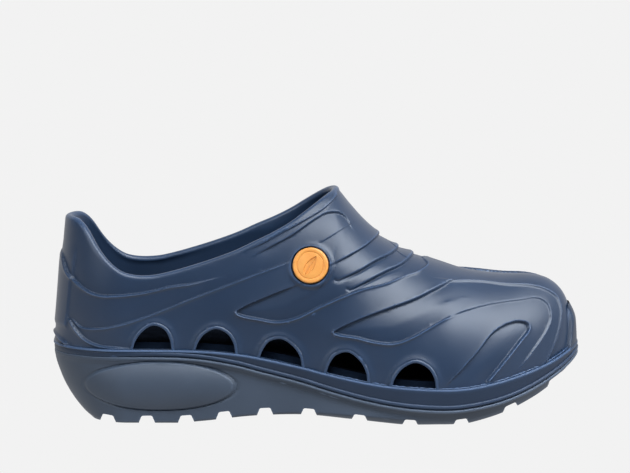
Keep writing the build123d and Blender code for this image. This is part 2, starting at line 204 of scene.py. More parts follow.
def upper_section(x):
    """Centre, half-width, joint height and crest height of the upper's section at station x."""
    low, high = outline_sides(x, BACK_OFFSET, UPPER_TIP, LEDGE)
    crest = np.where(x < CREST_START, VIRTUAL_CREST, through(CREST, x))
    return (low + high) / 2, (high - low) / 2, through(JOINT_LINE, x), crest


def lean_shift(x, z):
    """How far forward a leaning section carries a point at height z."""
    lean = np.radians(BACK_TILT * np.maximum(0, 1 - x / TILT_END))
    return (z - TILT_DATUM) * np.tan(lean)


def upper_height(x, across):
    """Height of the upper at station x, for across from -1 (lateral) to 1 (medial)."""
    _, _, joint, crest = upper_section(x)
    inside = np.clip(1 - np.abs(across) ** ARCH_POWER, 0, 1)
    return joint + (crest - joint) * inside ** (1 / ARCH_POWER)


def arch_across(x, z):
    """How far out the section at station x reaches at height z: 1 at its side, 0 on its crest."""
    _, _, joint, crest = upper_section(x)
    rise = np.clip((z - joint) / (crest - joint), 0, 1)
    return (1 - rise**ARCH_POWER) ** (1 / ARCH_POWER)


def wall_point(x, z, side):
    """Point of the upper's side wall at true position x and height z."""
    station = np.asarray(x, float)
    for _ in range(8):
        station = x - lean_shift(station, z)
    centre, half, _, _ = upper_section(station)
    y = centre + side * half * arch_across(station, z)
    return np.stack([np.broadcast_to(x, y.shape), y, np.broadcast_to(z, y.shape)], -1)


def rim_height(x, side):
    """Height of the rim, a little more on the medial side."""
    return through(RIM, x) + MEDIAL_RISE * (side > 0) * smooth(25, 55, x) * (1 - smooth(100, 150, x))


def rim_across(x, side):
    """Where the rim's line crosses the section at station x: 1 at its side, 0 on its crest."""
    z = rim_height(x, side)
    for _ in range(12):
        z = rim_height(x + lean_shift(x, z), side)
    return arch_across(x, z)


def curve_through(points, spacing=0.7):
    """Evenly spaced points of a smooth curve through given points."""
    p = np.array(points, float)
    p = np.vstack([2 * p[0] - p[1], p, 2 * p[-1] - p[-2]])
    dense = []
    for i in range(1, len(p) - 2):
        chords = [max(np.linalg.norm(p[i + k] - p[i + k - 1]), 1e-6) ** 0.5 for k in (0, 1, 2)]
        knots = [0, chords[0], chords[0] + chords[1], sum(chords)]
        t = np.linspace(knots[1], knots[2], 24, endpoint=False)[:, None]
        level = p[i - 1:i + 3]
        for pairs in ((0, 1), (1, 2), (2, 3)), ((0, 2), (1, 3)), ((1, 2),):
            spans = [(k, knots[a], knots[b]) for k, (a, b) in enumerate(pairs)]
            level = [(b - t) / (b - a) * level[k] + (t - a) / (b - a) * level[k + 1] for k, a, b in spans]
        dense.append(level[0])
    dense = np.vstack(dense + [p[-2:-1]])
    return resample(dense, max(2, int(path_length(dense)[-1] / spacing)))


def path_length(path):
    return np.concatenate([[0], np.cumsum(np.linalg.norm(np.diff(path, axis=0), axis=1))])


def resample(path, count, end_trim=0.0):
    """count points evenly spaced along a path, stopping end_trim short of its end."""
    run = path_length(path)
    marks = np.linspace(0, run[-1] - end_trim, count)
    return np.stack([np.interp(marks, run, path[:, k]) for k in range(path.shape[1])], 1)


def unit(vectors):
    return vectors / np.maximum(np.linalg.norm(vectors, axis=-1, keepdims=True), 1e-9)


def tangents(path):
    return unit(np.gradient(path, axis=0))


# -------- meshes

def in_scene(name, data):
    obj = bpy.data.objects.new(name, data)
    bpy.context.scene.collection.objects.link(obj)
    return obj


def new_object(name, vertices, faces):
    """A mesh object with its faces outward, from points in clog millimetres."""
    place = (np.asarray(vertices, float) + (HEEL_X, 0, 0)) * MM
    mesh = bpy.data.meshes.new(name)
    mesh.from_pydata(place.tolist(), [], faces)
    mesh.validate()
    mesh.update()
    work = bmesh.new()
    work.from_mesh(mesh)
    bmesh.ops.recalc_face_normals(work, faces=work.faces)
    work.to_mesh(mesh)
    work.free()
    return in_scene(name, mesh)


def ring_faces(rows, columns, start=0):
    """Quads between successive closed loops of points."""
    r, c = np.meshgrid(np.arange(rows - 1), np.arange(columns), indexing="ij")
    a = start + r * columns + c
    b = start + r * columns + (c + 1) % columns
    return np.stack([a, b, b + columns, a + columns], -1).reshape(-1, 4).tolist()


def closed_faces(rows, columns, flip=False):
    """Faces between successive loops, closed with one flat face at each end."""
    last = (rows - 1) * columns
    caps = [tuple(range(columns - 1, -1, -1)), tuple(range(last, last + columns))]
    return ring_faces(rows, columns) + [cap[::-1] if flip else cap for cap in caps]


def ladder_faces(columns, start, flip=False):
    """A flat-across cap between the lateral and medial halves of a loop."""
    half = columns // 2
    faces = [(start, start + 1, start + columns - 1)]
    for k in range(1, half - 1):
        faces.append((start + k, start + k + 1, start + columns - k - 1, start + columns - k))
    faces.append((start + half - 1, start + half, start + half + 1))
    return [tuple(reversed(f)) for f in faces] if flip else faces


def loop_solid(name, loops):
    """A closed solid from a stack of closed loops, capped at both ends."""
    loops = np.asarray(loops)
    rows, columns = loops.shape[:2]
    faces = ring_faces(rows, columns)
    faces += ladder_faces(columns, 0)
    faces += ladder_faces(columns, (rows - 1) * columns, flip=True)
    return new_object(name, loops.reshape(-1, 3), faces)


def shade(obj, crease):
    obj.data.shade_smooth()
    obj.data.set_sharp_from_angle(angle=radians(crease))
    return obj


def combine(obj, tool, operation):
    """Adds a tool solid to obj, or takes it away."""
    change = obj.modifiers.new("combine", "BOOLEAN")
    change.object = tool
    change.operation = operation
    change.solver = "MANIFOLD"
    bake_modifiers(obj)
    bpy.data.objects.remove(tool)


def bake_modifiers(obj):
    graph = bpy.context.evaluated_depsgraph_get()
    baked = bpy.data.meshes.new_from_object(obj.evaluated_get(graph))
    obj.modifiers.clear()
    old = obj.data
    obj.data = baked
    bpy.data.meshes.remove(old)


def thin_out(obj, triangles):
    """Merges the flattest triangles until about the given number is left."""
    obj.data.calc_loop_triangles()
    share = triangles / len(obj.data.loop_triangles)
    if share < 1:
        decimate = obj.modifiers.new("thin_out", "DECIMATE")
        decimate.ratio = share
        bake_modifiers(obj)


def joined(name, parts):
    """One mesh from several lists of (vertices, faces) that don't touch."""
    vertices, faces = [], []
    for v, f in parts:
        base = len(vertices)
        vertices.extend(np.asarray(v).tolist())
        faces.extend([tuple(base + i for i in face) for face in f])
    return new_object(name, vertices, faces)


def bar(outline, low=-75.0, high=75.0):
    """A prism across the clog from a side-view outline."""
    ends = [[(x, y, z) for x, z in outline] for y in (low, high)]
    return ends[0] + ends[1], closed_faces(2, len(outline), flip=True)


def tube(path, radius, outward, sides=14):
    """A closed tube along a 3-D path, radius a number or one for each point."""
    path = np.asarray(path, float)
    radius = np.broadcast_to(radius, len(path))
    tangent = tangents(path)
    across = unit(np.cross(tangent, np.broadcast_to(outward, path.shape)))
    up = np.cross(across, tangent)
    turn = np.linspace(0, 2 * pi, sides, endpoint=False)[None, :, None]
    spokes = np.cos(turn) * across[:, None] + np.sin(turn) * up[:, None]
    rings = path[:, None] + radius[:, None, None] * spokes
    return rings.reshape(-1, 3), closed_faces(len(path), sides)


def lathe(place, profile, sides=72):
    """A solid of revolution: profile is (radius, height) from its bottom centre to its top centre."""
    origin, axis, right = place
    ahead = np.cross(axis, right)
    turn = np.linspace(0, 2 * pi, sides, endpoint=False)
    spoke = np.cos(turn)[:, None] * right + np.sin(turn)[:, None] * ahead
    rings = [origin + radius * spoke + height * axis for radius, height in profile]
    return np.array(rings).reshape(-1, 3), closed_faces(len(profile), sides)


def rounded_edge(radius, height, round_by, steps=6):
    """Profile points that round a lathe's outer top edge."""
    turns = np.linspace(0, pi / 2, steps)
    return [(radius - round_by + round_by * cos(t), height - round_by + round_by * sin(t)) for t in turns]


# -------- relief on the upper

# Steps: points (x, drawn height), raised side (1 left of the direction, -1 right), height of the
# step, its width, reach of the raised and of the recessed side, and the tapers at the two ends.
STEPS = [
    # collar panel's line, above the heel
    ([(4.4, 90), (5.6, 86.1), (8.5, 76.3), (16.6, 67.8), (24.7, 64.1), (34.5, 63.8), (49.1, 65.4),
      (65.3, 69), (76.4, 70.4), (95, 75)], -1, 1.5, 1.2, 8, 9, 6, 34),
    # long thin line from the heel to the button
    ([(11, 49.9), (14.9, 46.4), (24.8, 45.6), (35.7, 47.4), (51.5, 52.4), (76.3, 62.2), (100.9, 71.6),
      (128.6, 82)], -1, 1.0, 1.0, 5, 6, 3, 8),
    # heel's lower panel
    ([(9.5, 49.5), (11, 46.9), (16.9, 40), (24.8, 36.3), (41.5, 34.6)], -1, 1.5, 1.2, 6, 7, 2, 8),
    # wing from the midfoot to the vamp
    ([(138, 71.2), (134.5, 69.6), (120.6, 64.2), (103.9, 56.8), (101.2, 54.6), (102.9, 53.2),
      (113.8, 50.9), (123.7, 49.4), (133.6, 51.4), (146.7, 57.6), (157.3, 62.3), (171, 67.6),
      (183.7, 70.8), (194.2, 75), (201.8, 77.6), (206.5, 81.9), (204.5, 85)],
     -1, 2.0, 1.3, 8, 10, 14, 8),
    # wing of the forefoot
    ([(224, 73.4), (219.7, 71.8), (210.3, 67.1), (199.7, 61.8), (183.7, 56), (167.9, 50.1),
      (157.3, 45.2), (155.2, 43.6), (157.3, 42.4), (167.9, 40.6), (178.5, 38), (188, 37.4),
      (196.5, 40.1), (208.1, 46.4), (215.6, 50.6), (222, 53.4)], -1, 2.3, 1.3, 9, 11, 12, 11),
    # shallow oval ahead of the forefoot wing
    ([(212, 49), (226.1, 54.9), (242, 59.1), (257.9, 61.3), (267.4, 62.3), (272.7, 59.1),
      (274.3, 51.7), (271.7, 44.4), (263.2, 31.7), (256.8, 23.1)], 1, 0.6, 1.1, 6, 9, 14, 8),
    # toe wing
    ([(216, 13), (224, 21), (234.6, 32.7), (243.1, 43.3), (250.5, 48), (257.4, 49.6), (262, 48.2),
      (262.2, 44.8), (257.9, 39), (250.5, 29.5), (241, 18), (236, 12)], 1, 1.9, 1.2, 6, 10, 14, 3),
    # edge of the toe cap
    ([(212, 73.2), (224, 72.4), (236.7, 71.8), (250.5, 70.2), (263.2, 69.7), (271.7, 67.6), (278, 63.4),
      (280.6, 56), (280, 47.5), (276.9, 36.9), (272.7, 27.9), (269, 22)], -1, 2.6, 1.4, 7, 8, 14, 4),
    # collar's throat band
    ([(112, 86.6), (116.8, 89.2), (120.9, 91.4), (131.7, 97.3), (143.7, 105.7), (150.6, 109.6),
      (157, 110), (161.4, 107.4), (163.6, 103.6)], 1, 1.6, 1.3, 7, 8, 8, 7),
    # lip under the rim at the throat
    ([(106, 88.4), (116, 93), (125.8, 98.3), (136.7, 104.2), (149.6, 112.1), (156.2, 118.9), (159, 124)],
     1, 1.1, 1.1, 4, 4, 10, 3),
    # ribs of the vamp
    ([(146, 92.6), (148.9, 94.1), (161.6, 102), (166, 105)], 1, 0.4, 1.2, 5, 6, 6, 5),
    ([(153, 80.6), (163.6, 86.1), (173.2, 92), (179, 97.2), (184, 103)], 1, 2.0, 1.3, 5, 6, 9, 1),
    ([(157, 72.4), (167.9, 77.1), (178.5, 83.5), (186.9, 87.7), (192, 92.5), (196, 98)],
     1, 1.9, 1.3, 5, 6, 12, 1),
    ([(164.6, 67.4), (173.2, 71.8), (183.7, 77.6), (193.3, 82.4), (199, 87.6), (205, 94)],
     1, 1.9, 1.3, 5, 6, 12, 1),
]

# Fine grooves under two of the ribs: points, height (below 0 for a groove) and width
BEADS = [
    ([(155.2, 72.6), (157.3, 72), (167.9, 76.7), (178.5, 83.1), (186.9, 87.4)], -0.6, 0.95),
    ([(162.4, 67.4), (164.4, 67), (173.2, 71.4), (183.7, 77.2), (193.3, 82)], -0.6, 0.95),
]


def drawn(points):
    """Where points show in a side view in perspective. Both sides are drawn alike."""
    tilt = radians(SIGHT_ELEVATION)
    x, y, z = points[..., 0] - SIGHT_X, np.abs(points[..., 1]), points[..., 2] - SIGHT_Z
    nearer = y * cos(tilt) + z * sin(tilt)
    scale = DRAWN_SCALE * SIGHT_DISTANCE / (SIGHT_DISTANCE - nearer)
    return SIGHT_X + x * scale, SIGHT_Z * cos(tilt) + (z * cos(tilt) - y * sin(tilt)) * scale


def nearest_on(path, x, height, margin, strength=None):
    """For side-drawing positions near a path: which they are, the nearest path point, the gap to it,
    and how strong the line is there, blended over the path points nearly as near."""
    low, high = path.min(0) - margin, path.max(0) + margin
    near = (x > low[0]) & (x < high[0]) & (height > low[1]) & (height < high[1])
    where = np.nonzero(near.ravel())[0]
    place = np.stack([x.ravel()[where], height.ravel()[where]], 1)
    nearest = np.zeros(len(where), int)
    blended = np.ones(len(where))
    for part in np.array_split(np.arange(len(where)), max(1, len(where) // 4000)):
        distance2 = ((place[part, None] - path[None]) ** 2).sum(-1)
        nearest[part] = distance2.argmin(1)
        if strength is not None:
            weight = np.exp((distance2.min(1)[:, None] - distance2) / STRENGTH_BLEND)
            blended[part] = weight @ strength / weight.sum(1)
    return where, nearest, place - path[nearest], blended


def spread_out(values, where, x):
    """Values for the chosen points, 0 for the others."""
    result = np.zeros(x.size)
    result[where] = values
    return result.reshape(x.shape)


def bell(value, width):
    return np.exp(-((value / width) ** 2))


def step_relief(x, height, step):
    """Relief of one step: raised on one side, recessed on the other."""
    points, raised, rise, width, raised_reach, recess_reach, start_taper, end_taper = step
    path = curve_through(points)
    run = path_length(path)
    taper = smooth(0, start_taper, run) * smooth(0, end_taper, run[-1] - run)
    where, nearest, gap, strength = nearest_on(path, x, height, 3.5 * max(raised_reach, recess_reach), taper)
    t = tangents(path)[nearest]
    signed = raised * np.sign(t[:, 0] * gap[:, 1] - t[:, 1] * gap[:, 0]) * np.linalg.norm(gap, axis=1)
    along = (gap * t).sum(1)
    past = np.maximum(np.where(nearest == 0, -along, 0), np.where(nearest == len(path) - 1, along, 0))
    beyond = np.maximum(past - 0.5 * np.abs(signed), 0)
    strength = strength * bell(beyond, END_SOFTNESS)
    upward = raised * t[:, 0]  # 1 where the raised side lies above the line
    ramp = smooth(-width / 2, width / 2, signed)
    high_side = RAISED_SHARE * rise * np.exp(-np.maximum(signed, 0) / raised_reach)
    low_side = (RAISED_SHARE - 1) * rise * np.exp(np.minimum(signed, 0) / recess_reach)
    share = EDGE_LIP * np.clip(0.55 - 0.6 * upward, 0.08, 1)
    lip = share * rise * bell(signed - 0.55 * width, EDGE_LIP_WIDTH)
    return spread_out((ramp * high_side + (1 - ramp) * low_side + lip) * strength, where, x)


def bead_relief(x, height, bead):
    points, rise, width = bead
    path = curve_through(points, 0.4)
    run = path_length(path)
    taper = smooth(-0.6, 1.2, run) * smooth(0, 8, run[-1] - run)
    where, _, gap, strength = nearest_on(path, x, height, 3 * width, taper)
    return spread_out(rise * bell(np.linalg.norm(gap, axis=1), width) * strength, where, x)


def vent_swell(x, z):
    """Soft swelling round each vent, outside its lip."""
    result = np.zeros(x.shape)
    for vent in VENTS:
        arch = arch_outline(vent, VENT_SWELL_OFFSET)
        where, _, gap, _ = nearest_on(arch, x, z, 4 * VENT_SWELL_WIDTH)
        bump = VENT_SWELL * bell(np.linalg.norm(gap, axis=1), VENT_SWELL_WIDTH)
        result = np.maximum(result, spread_out(bump, where, x))
    return result


def collar_swell(points):
    """Raised ring round each button, fullest below and ahead of it."""
    total = np.zeros(points.shape[:-1])
    for origin, axis, right in BUTTONS.values():
        gap = points - origin
        outward = gap @ axis
        flat = gap - outward[..., None] * axis
        radius = np.linalg.norm(flat, axis=-1)
        turn = np.arctan2(flat[..., 2], flat[..., 0])
        fullness = 0.08 + 0.92 * (0.5 + 0.5 * np.cos(turn - COLLAR_FULLEST))
        ring = 1 - smooth(COLLAR_RADIUS - 1.6, COLLAR_RADIUS + 0.5, radius)
        total += np.where(np.abs(outward) < 12, COLLAR_PROUD * fullness * ring, 0)
    return total


def heel_strip(points):
    """Raised strip up the back of the heel, and the two ridges across its foot."""
    x, y, z = points[..., 0], points[..., 1], points[..., 2]
    side = 1 - smooth(STRIP_HALF_WIDTH - STRIP_EDGE, STRIP_HALF_WIDTH + STRIP_EDGE, np.abs(y))
    level = smooth(49, 52, z) * (1 - smooth(86, 97, z))
    strip = STRIP_PROUD * side * level * (x < 30)
    ridges = 0
    for crest, fall, end in HEEL_RIDGES:
        above = z - (crest - fall * x)
        ridge = bell(above, 0.95) - 0.55 * bell(above + 2.1, 0.9)
        ridges = ridges + ridge * (1 - smooth(end - 2.5, end, x))
    return strip + (1.05 + 0.5 * smooth(2, 7, x)) * ridges


def relief(points):
    x, height = drawn(points)
    total = vent_swell(points[..., 0], points[..., 2]) + collar_swell(points) + heel_strip(points)
    for step in STEPS:
        total += step_relief(x, height, step)
    for bead in BEADS:
        total += bead_relief(x, height, bead)
    return total


# -------- upper

def loop_stations(back, tip, rear_spacing, front_spacing):
    """Stations from the back to the tip, evenly spaced round the outline."""
    turn = np.linspace(0, pi / 2, 400)
    heel = back + (HEEL_REACH - back) * (1 - np.cos(turn))
    body = np.linspace(HEEL_REACH, TOE_START, 800)[1:-1]
    toe = TOE_START + (tip - TOE_START) * np.sin(turn)
    x = np.concatenate([heel, body, toe])
    run = plan_run(x, back, tip)
    spacing = rear_spacing + (front_spacing - rear_spacing) * smooth(60, 110, x)
    count = np.concatenate([[0], np.cumsum(np.diff(run) / spacing[1:])])
    marks = np.linspace(0, count[-1], int(round(count[-1])) + 1)
    return np.interp(marks, count, x)


def plan_run(x, back, tip, draw_in=0.0):
    """Distance along the lateral outline up to each station."""
    low, _ = outline_sides(x, back, tip, draw_in)
    return path_length(np.stack([x, low], 1))


def paired_columns(stations):
    """Stations and sides of a closed loop: heel, lateral side, toe, then back up the medial side."""
    last = len(stations) - 1
    x = np.concatenate([stations, stations[last - 1:0:-1]])
    side = np.concatenate([-np.ones(last + 1), np.ones(last - 1)])
    return x, side


def throat_apex():
    x = np.linspace(150, 156, 600)
    return float(x[np.argmin(np.abs(through(RIM, x) - through(CREST, x)))])


def rim_stations(base):
    """Where each column that starts at a base station meets the rim."""
    apex = throat_apex()
    front = base[base > FAN_START]
    run = plan_run(front, BACK_OFFSET, UPPER_TIP, LEDGE)
    fraction = run / run[-1]
    rim = np.linspace(FAN_START, apex, 500)
    centre, half, _, _ = upper_section(rim)
    y = centre - half * rim_across(rim, -1)
    rim_run = path_length(np.stack([rim, y, through(RIM, rim)], 1))
    eased = 0.9 * (1 - (1 - fraction) ** 1.9) + 0.1 * fraction
    met = base.copy()
    met[base > FAN_START] = np.interp(eased * rim_run[-1], rim_run, rim)
    return met


def column_path(x, side, met):
    """The upper's surface from the joint line at station x up to the rim at station met."""
    across_end = float(rim_across(np.array(met), side))
    if x < FAN_START:
        end = np.arccos(across_end ** (ARCH_POWER / 2))
        turn = np.linspace(0, end, 500)
        across = np.cos(turn) ** (2 / ARCH_POWER)
        station = np.full(500, x)
        centre, half, _, _ = upper_section(station)
        y = centre + side * half * across
    else:
        centre, half, _, _ = upper_section(np.array([x, met]))
        start_y = centre[0] + side * half[0]
        end_y = centre[1] + side * half[1] * across_end
        t = np.linspace(0, 1, 700) ** 2.5
        station = x + (met - x) * t
        y = start_y + (end_y - start_y) * t
        centre, half, _, _ = upper_section(station)
        across = np.clip((y - centre) / np.maximum(half, 1e-6), -1, 1)
        across[0] = side
    z = upper_height(station, across)
    return np.stack([station + lean_shift(station, z), y, z], 1)


def surface_normals(grid):
    """Outward normals of a grid of points that closes round its columns."""
    round_loop = np.roll(grid, -1, 1) - np.roll(grid, 1, 1)
    up = np.gradient(grid, axis=0)
    up[0] = grid[1] - grid[0]
    return unit(np.cross(unit(round_loop), up))


def upsample(grid, times, axis, closed):
    """A grid with times as many cells along one axis, on smooth curves through its points."""
    grid = np.moveaxis(grid, axis, 0)
    count = len(grid)
    cells = np.arange(count if closed else count - 1)
    t = (np.arange(times) / times)[None, :, None, None]
    index = [cells + k for k in (-1, 0, 1, 2)]
    index = [i % count if closed else np.clip(i, 0, count - 1) for i in index]
    a, b, c, d = (grid[i][:, None] for i in index)
    dense = b + 0.5 * t * (c - a + t * (2 * a - 5 * b + 4 * c - d + t * (3 * (b - c) + d - a)))
    dense = dense.reshape(-1, *grid.shape[1:])
    if not closed:
        dense = np.concatenate([dense, grid[-1:]])
    return np.moveaxis(dense, 0, axis)


def busy_cells(dense):
    """Cells whose relief a plain quad would miss, never along the two open borders."""
    rows, columns = (dense.shape[0] - 1) // REFINE, dense.shape[1] // REFINE
    around = np.concatenate([dense, dense[:, :1]], 1)
    corner = around[::REFINE, ::REFINE]
    missed = np.zeros((rows, columns))
    for a in range(REFINE + 1):
        for b in range(REFINE + 1):
            u, v = a / REFINE, b / REFINE
            plain = (corner[:-1, :-1] * (1 - u) * (1 - v) + corner[1:, :-1] * u * (1 - v)
                     + corner[:-1, 1:] * (1 - u) * v + corner[1:, 1:] * u * v)
            found = around[a:a + rows * REFINE:REFINE, b:b + columns * REFINE:REFINE]
            missed = np.maximum(missed, np.abs(found - plain))
    busy = missed > REFINE_ERROR
    busy[[0, -1]] = False
    return busy


def refined_faces(busy):
    """Faces over a lattice of fine points: busy cells split up, plain cells as single faces."""
    rows, columns = busy.shape
    wide = columns * REFINE
    step = np.arange(REFINE)
    faces = []
    r, c = (k * REFINE for k in np.nonzero(busy))
    for a in range(REFINE):
        for b in range(REFINE):
            low, high = (r + a) * wide, (r + a + 1) * wide
            left, right = c + b, (c + b + 1) % wide
            faces += np.stack([low + left, low + right, high + right, high + left], 1).tolist()
    for i, j in zip(*np.nonzero(~busy)):
        low, left, high, right = i * REFINE, j * REFINE, (i + 1) * REFINE, (j + 1) * REFINE
        sides = (
            (i > 0 and busy[i - 1, j], low + 0 * step, left + step),
            (busy[i, (j + 1) % columns], low + step, right + 0 * step),
            (i < rows - 1 and busy[i + 1, j], high + 0 * step, right - step),
            (busy[i, j - 1], high - step, left + 0 * step),
        )
        face = []
        for split, along, across in sides:
            ids = along * wide + across % wide
            face += ids.tolist() if split else [int(ids[0])]
        faces.append(face)
    return faces


def build_upper():
    stations = loop_stations(BACK_OFFSET, UPPER_TIP, REAR_SPACING, FRONT_SPACING)
    met = rim_stations(stations)
    x, side = paired_columns(stations)
    met, _ = paired_columns(met)
    roll = WALL / 2
    columns = [resample(column_path(*c), OUTER_ROWS, roll) for c in zip(x, side, met)]
    skin = np.stack(columns, 1)
    normal = surface_normals(skin)
    for _ in range(2):
        normal[1:-1] = normal[1:-1] + 0.5 * (normal[2:] + normal[:-2])
        normal = unit(normal)
    dense, dense_normal = (upsample(upsample(g, REFINE, 1, True), REFINE, 0, False) for g in (skin, normal))
    lift = relief(dense)
    outer = dense + dense_normal * lift[..., None]
    busy = busy_cells(lift)

    rising = unit(skin[-1] - skin[-2])
    centre = outer[-1, ::REFINE] - normal[-1] * roll
    turns = np.linspace(0, pi, ROLL_STEPS + 1)[1:]
    rolls = [centre + roll * (cos(turn) * normal[-1] + sin(turn) * rising) for turn in turns]
    rows = np.unique(np.round(np.linspace(OUTER_ROWS - 2, 0, INNER_ROWS)).astype(int))[::-1]
    lining = skin[rows] - normal[rows] * WALL
    feet = np.stack([lining[-1], outer[0, ::REFINE]]) - (0, 0, FOOT_DROP)
    plain = np.concatenate([np.array(rolls), lining, feet])

    tall, wide = dense.shape[:2]
    count = wide // REFINE
    faces = refined_faces(busy)
    first = tall * wide
    faces += ring_faces(len(plain), count, first)
    last = first + (len(plain) - 1) * count
    rim_row = (tall - 1) * wide
    for k in range(count):
        n = (k + 1) % count
        faces.append([rim_row + k * REFINE, rim_row + n * REFINE, first + n, first + k])
        faces.append([last + k, last + n, n * REFINE, k * REFINE])
    vertices = np.concatenate([outer.reshape(-1, 3), plain.reshape(-1, 3)])
    used = np.unique(np.concatenate([np.array(f) for f in faces]))
    renumber = np.zeros(len(vertices), int)
    renumber[used] = np.arange(len(used))
    faces = [renumber[f].tolist() for f in faces]
    return new_object("clog_upper", vertices[used], faces)


def arch_outline(vent, grow=0.0):
    """Side-view points of one vent's arch, from its rear foot over the top to its front foot."""
    x, width, height = vent
    rear = np.array([x, through(JOINT_LINE, x)])
    front = np.array([x + width, through(JOINT_LINE, x + width)])
    middle = (rear[1] + front[1]) / 2
    points = [
        rear,
        (x + 0.07 * width, rear[1] + 0.34 * height),
        (x + 0.24 * width, rear[1] + 0.72 * height),
        (x + 0.53 * width, middle + height),
        (x + 0.82 * width, front[1] + 0.83 * height),
        (x + 0.96 * width, front[1] + 0.42 * height),
        front,
    ]
    path = curve_through(points, 0.6)
    tangent = tangents(path)
    return path + grow * np.stack([-tangent[:, 1], tangent[:, 0]], 1)


def vent_bars():
    """Cutters for the vents, across both walls."""
    bars = []
    for vent in VENTS:
        arch = arch_outline(vent)
        below = [(arch[-1, 0], arch[-1, 1] - 4), (arch[0, 0], arch[0, 1] - 4)]
        bars.append(bar([tuple(p) for p in arch] + below))
    return bars


def vent_lips():
    """Raised rounded lips over the vents, on both sides."""
    lips = []
    for vent in VENTS:
        arch = arch_outline(vent, VENT_LIP_OFFSET)
        arch = np.vstack([arch[0] - (0.3, 2.5), arch, arch[-1] - (-0.3, 2.5)])
        for side in (-1, 1):
            spine = wall_point(arch[:, 0], arch[:, 1], side)
            spine[:, 1] -= side * VENT_LIP_DEPTH
            lips.append(tube(spine, VENT_LIP_RADIUS, (0, side, 0.15)))
    return lips


def button_place(joint_name):
    """Origin, outward normal and a level direction of a button's recess floor."""
    joint = next(j for j in frame["joints"] if j["name"] == joint_name)
    origin = np.array(joint["pos_m"]) / MM - (HEEL_X, 0, 0)
    axis = np.array(joint["axis"], float)
    axis /= np.linalg.norm(axis)
    right = np.cross((0, 0, 1), axis)
    return origin, axis, right / np.linalg.norm(right)


BUTTONS = {"lateral_button": button_place("lateral_button_spin"),
           "medial_button": button_place("medial_button_spin")}


def finish_upper(upper):
    """Adds lips and bosses to the shell, then cuts vents, recesses and bores."""
    bore = POST_RADIUS + BORE_GAP
    boss = [(BOSS_RADIUS, -BOSS_DEPTH), (BOSS_RADIUS, -0.5)]
    hole = [(bore, -BOSS_DEPTH - 3), (bore, 0), (RECESS_RADIUS, 0), (RECESS_RADIUS, RECESS_DEPTH - 0.4),
            (RECESS_RADIUS + 1, RECESS_DEPTH + 6)]
    bosses, holes = ([lathe(place, profile) for place in BUTTONS.values()] for profile in (boss, hole))
    combine(upper, joined("vent_lips", vent_lips()), "UNION")
    combine(upper, joined("bosses", bosses), "UNION")
    combine(upper, joined("vent_cutters", vent_bars()), "DIFFERENCE")
    combine(upper, joined("button_holes", holes), "DIFFERENCE")
    thin_out(upper, UPPER_TRIANGLES)
    shade(upper, 55)


# -------- sole

SOLE_STATIONS = loop_stations(0.0, LENGTH, SOLE_SPACING, SOLE_SPACING)
SOLE_X, SOLE_SIDE = paired_columns(SOLE_STATIONS)


def sole_outline():
    """Points and inward directions round the sole's plan outline."""
    low, high = outline_sides(SOLE_X)
    y = np.where(SOLE_SIDE < 0, low, high)
    loop = np.stack([SOLE_X, y], 1)
    along = np.roll(loop, -1, 0) - np.roll(loop, 1, 0)
    return loop, unit(np.stack([-along[:, 1], along[:, 0]], 1))


OUTLINE, INWARD = sole_outline()
JOINT_Z, BAND_Z = through(JOINT_LINE, SOLE_X), through(BAND_LINE, SOLE_X)
BEAD_SHARE = 1 - 0.85 * (1 - smooth(25, 80, SOLE_X))  # the band's beads nearly fade out round the heel
REARWARD = np.clip(INWARD[:, 0], 0, 1) ** 1.5  # 1 at the back of the heel, 0 along the sides


def ground_line(x):
    """Height of the sole's underside, which never drops below the ground."""
    return np.clip(through(BOTTOM, x), 0, None)


def sole_loop(inset, z):
    """A closed loop inset from the outline, at one height for each column."""
    plan = OUTLINE + INWARD * np.broadcast_to(inset, len(OUTLINE))[:, None]
    return np.column_stack([plan, np.broadcast_to(z, len(OUTLINE))])


def guard_rise():
    """How far the toe guard climbs above the joint line, for each column."""
    across = np.abs(OUTLINE[:, 1] - TOE_SHIFT)
    return GUARD_RISE * (1 - smooth(GUARD_INNER, GUARD_OUTER, across)) * (SOLE_X > 200)


def build_midsole():
    """The band with its lower bead, the ledge and toe guard above it, and the insole tray."""
    rise = guard_rise()
    loops = [sole_loop(TRAY_INSET, JOINT_Z - TRAY_DEPTH), sole_loop(TRAY_INSET, JOINT_Z - 0.6),
             sole_loop(LEDGE + 2.0, JOINT_Z - 0.3), sole_loop(LEDGE + 2.0, JOINT_Z + rise * 0.96)]
    for t in np.linspace(0, 1, 13):
        height = rise * (1 - t) ** 1.25
        swell = sin(pi / 2 * min(1, t * 2.6)) if t < 1 else 1.0
        lean = 1.6 * np.minimum(1, rise / GUARD_RISE) * (1 - t) ** 2
        loops.append(sole_loop(LEDGE + 0.9 * (1 - swell) - (LEDGE - 0.9) * swell + lean, JOINT_Z + height))
    loops += [sole_loop(0.45, JOINT_Z - 0.35), sole_loop(0.35, JOINT_Z - 1.1)]
    span = JOINT_Z - BAND_Z
    for t in (0.25, 0.5, 0.72):
        loops.append(sole_loop(0.35 + 0.5 * t, JOINT_Z - 1.1 - (span - 3.9) * t))
    top = BAND_Z + 2.6
    for turn in np.linspace(0, pi, 9):
        out = sin(turn) * BEAD_SHARE * 0.85
        loops.append(sole_loop(0.95 - out, top - 1.1 + 1.1 * cos(turn)))
    loops += [sole_loop(1.2, BAND_Z + 0.1), sole_loop(CORE_INSET, BAND_Z + 0.1),
              sole_loop(CORE_INSET, JOINT_Z - TRAY_DEPTH - CORE_FLOOR)]
    return shade(loop_solid("clog_midsole", loops), 50)


def heel_inset(z):
    """Inset of the heel's back at height z, so that its profile follows the bottom line."""
    x = np.linspace(0.2, 24, 300)
    heights = through(BOTTOM, x)
    return np.interp(z, heights[::-1], x[::-1])


